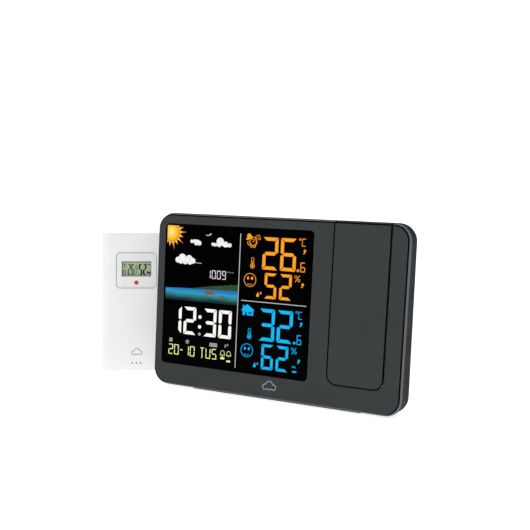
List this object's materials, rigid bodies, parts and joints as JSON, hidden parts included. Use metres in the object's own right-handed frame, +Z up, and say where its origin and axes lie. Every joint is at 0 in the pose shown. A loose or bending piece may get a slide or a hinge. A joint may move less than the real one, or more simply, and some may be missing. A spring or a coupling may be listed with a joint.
{
  "type": "home weather station",
  "caption": "Slim table console with a colour display and a tilting projector arm, standing on a foot bar and kickstand, with a small white outdoor sensor beside it.",
  "frame": {"origin": "centre of the underside of the console's foot bar, on the table", "axes": "+X to the right seen from the front, +Y to the back, +Z up"},
  "size_m": [0.2677, 0.0738, 0.1294],
  "materials": {
    "fascia": "fine moulded texture",
    "case": "satin moulded",
    "window": "polished",
    "lcd_glass": "polished",
    "clear": "polished",
    "white_plastic": "satin moulded",
    "sensor_bezel": "satin",
    "sensor_lcd": "reflective display",
    "red_led": "diffused lens",
    "key": "satin",
    "sensor_key": "satin",
    "rubber": "matt",
    "board": "solder mask",
    "component": "moulded",
    "steel": "zinc plated",
    "nickel": "nickel plated",
    "copper": "enamelled wire",
    "ferrite": "sintered",
    "battery": "printed sleeve",
    "light_plastic": "satin"
  },
  "bodies": {
    "console": {"antenna_coil": "copper", "antenna_rod": "ferrite", "arm_pivot_pins": "steel", "backlight_leds": "board", "backup_cell": "nickel", "board_chips": "component", "board_screws": "steel", "buzzer": "component", "case_screws": "steel", "cell_contacts": "nickel", "dc_jack": "component", "display_window": "window", "foot_bar": "rubber", "friction_washers": "rubber", "front_fascia": "fascia", "kickstand_pins": "steel", "lcd_connectors": "rubber", "lcd_frame": "light_plastic", "lcd_panel": "lcd_glass", "light_guide": "clear", "main_board": "board", "middle_case": "case", "rear_cover": "case", "room_sensor": "board"},
    "snooze_key": {"snooze_key": "key"},
    "rear_key_1": {"rear_key_1": "key"},
    "rear_key_2": {"rear_key_2": "key"},
    "rear_key_3": {"rear_key_3": "key"},
    "rear_key_4": {"rear_key_4": "key"},
    "rear_key_5": {"rear_key_5": "key"},
    "rear_key_6": {"rear_key_6": "key"},
    "cell_door": {"battery_door": "key"},
    "kickstand": {"kickstand": "case"},
    "projector_arm": {"arm_front_shell": "fascia", "arm_rear_shell": "case", "arm_screws": "steel", "projector_board": "board", "projection_led": "red_led", "lamp_housing": "component", "condenser_lens": "clear", "projection_lcd": "lcd_glass", "focus_axle": "steel"},
    "lens_barrel": {"lens_barrel": "component", "projection_lens": "clear"},
    "focus_wheel": {"focus_wheel": "key"},
    "outdoor_sensor": {"sensor_front_case": "white_plastic", "sensor_rear_case": "white_plastic", "sensor_window": "sensor_bezel", "sensor_lcd": "sensor_lcd", "sensor_led": "red_led", "sensor_board": "board", "sensor_batteries": "battery", "sensor_contacts": "nickel", "sensor_screws": "steel", "sensor_feet": "rubber", "sensor_stand_pins": "steel"},
    "sensor_door": {"sensor_battery_door": "white_plastic"},
    "sensor_stand": {"sensor_stand": "white_plastic"},
    "sensor_button": {"sensor_tx_button": "sensor_key"},
    "sensor_switch": {"sensor_channel_switch": "sensor_key"}
  },
  "joints": [
    {"name": "arm_tilt", "type": "hinge", "parent": "console", "child": "projector_arm", "pos_m": [0.0636, -0.00237, 0.02942], "axis": [-1, 0, 0], "range_deg": [0, 90]},
    {"name": "focus_turn", "type": "hinge", "parent": "projector_arm", "child": "focus_wheel", "pos_m": [0.0756, 0.00707, 0.09881], "axis": [1, 0, 0], "range_deg": [-38, 38]},
    {"name": "lens_focus", "type": "slide", "parent": "projector_arm", "child": "lens_barrel", "axis": [0, 0.1064, 0.9943], "range_m": [-0.00126, 0.00126]},
    {"name": "kickstand_fold", "type": "hinge", "parent": "console", "child": "kickstand", "pos_m": [0, 0.00407, 0.00573], "axis": [1, 0, 0], "range_deg": [0, 92.9]},
    {"name": "cell_door_twist", "type": "hinge", "parent": "console", "child": "cell_door", "pos_m": [-0.058, 0.00897, 0.04628], "axis": [0, 0.9973, -0.0736], "range_deg": [0, 45]},
    {"name": "snooze_press", "type": "slide", "parent": "console", "child": "snooze_key", "axis": [0, -0.1064, -0.9943], "range_m": [0, 0.0007], "stiffness_N_per_m": 400},
    {"name": "rear_key_1_press", "type": "slide", "parent": "console", "child": "rear_key_1", "axis": [0, -0.9973, 0.0736], "range_m": [0, 0.0007], "stiffness_N_per_m": 300},
    {"name": "rear_key_2_press", "type": "slide", "parent": "console", "child": "rear_key_2", "axis": [0, -0.9973, 0.0736], "range_m": [0, 0.0007], "stiffness_N_per_m": 300},
    {"name": "rear_key_3_press", "type": "slide", "parent": "console", "child": "rear_key_3", "axis": [0, -0.9973, 0.0736], "range_m": [0, 0.0007], "stiffness_N_per_m": 300},
    {"name": "rear_key_4_press", "type": "slide", "parent": "console", "child": "rear_key_4", "axis": [0, -0.9973, 0.0736], "range_m": [0, 0.0007], "stiffness_N_per_m": 300},
    {"name": "rear_key_5_press", "type": "slide", "parent": "console", "child": "rear_key_5", "axis": [0, -0.9973, 0.0736], "range_m": [0, 0.0007], "stiffness_N_per_m": 300},
    {"name": "rear_key_6_press", "type": "slide", "parent": "console", "child": "rear_key_6", "axis": [0, -0.9973, 0.0736], "range_m": [0, 0.0007], "stiffness_N_per_m": 300},
    {"name": "sensor_lift", "type": "slide", "parent": "console", "child": "outdoor_sensor", "axis": [0, 0, 1], "range_m": [0, 0.15]},
    {"name": "sensor_door_open", "type": "hinge", "parent": "outdoor_sensor", "child": "sensor_door", "pos_m": [-0.1403, 0.03423, 0.03064], "axis": [-0.8969, -0.4421, 0], "range_deg": [0, 60]},
    {"name": "sensor_stand_fold", "type": "hinge", "parent": "outdoor_sensor", "child": "sensor_stand", "pos_m": [-0.13772, 0.02899, 0.00411], "axis": [0.8969, 0.4421, 0], "range_deg": [0, 86.1]},
    {"name": "sensor_button_press", "type": "slide", "parent": "outdoor_sensor", "child": "sensor_button", "axis": [0.4342, -0.8809, 0.1881], "range_m": [0, 0.0006], "stiffness_N_per_m": 300},
    {"name": "channel_slide", "type": "slide", "parent": "outdoor_sensor", "child": "sensor_switch", "axis": [0.8969, 0.4421, 0], "range_m": [0, 0.0052]}
  ],
  "couplings": [
    {"joint": "focus_turn", "follows": "lens_focus", "rad_per_m": -526.3}
  ]
}
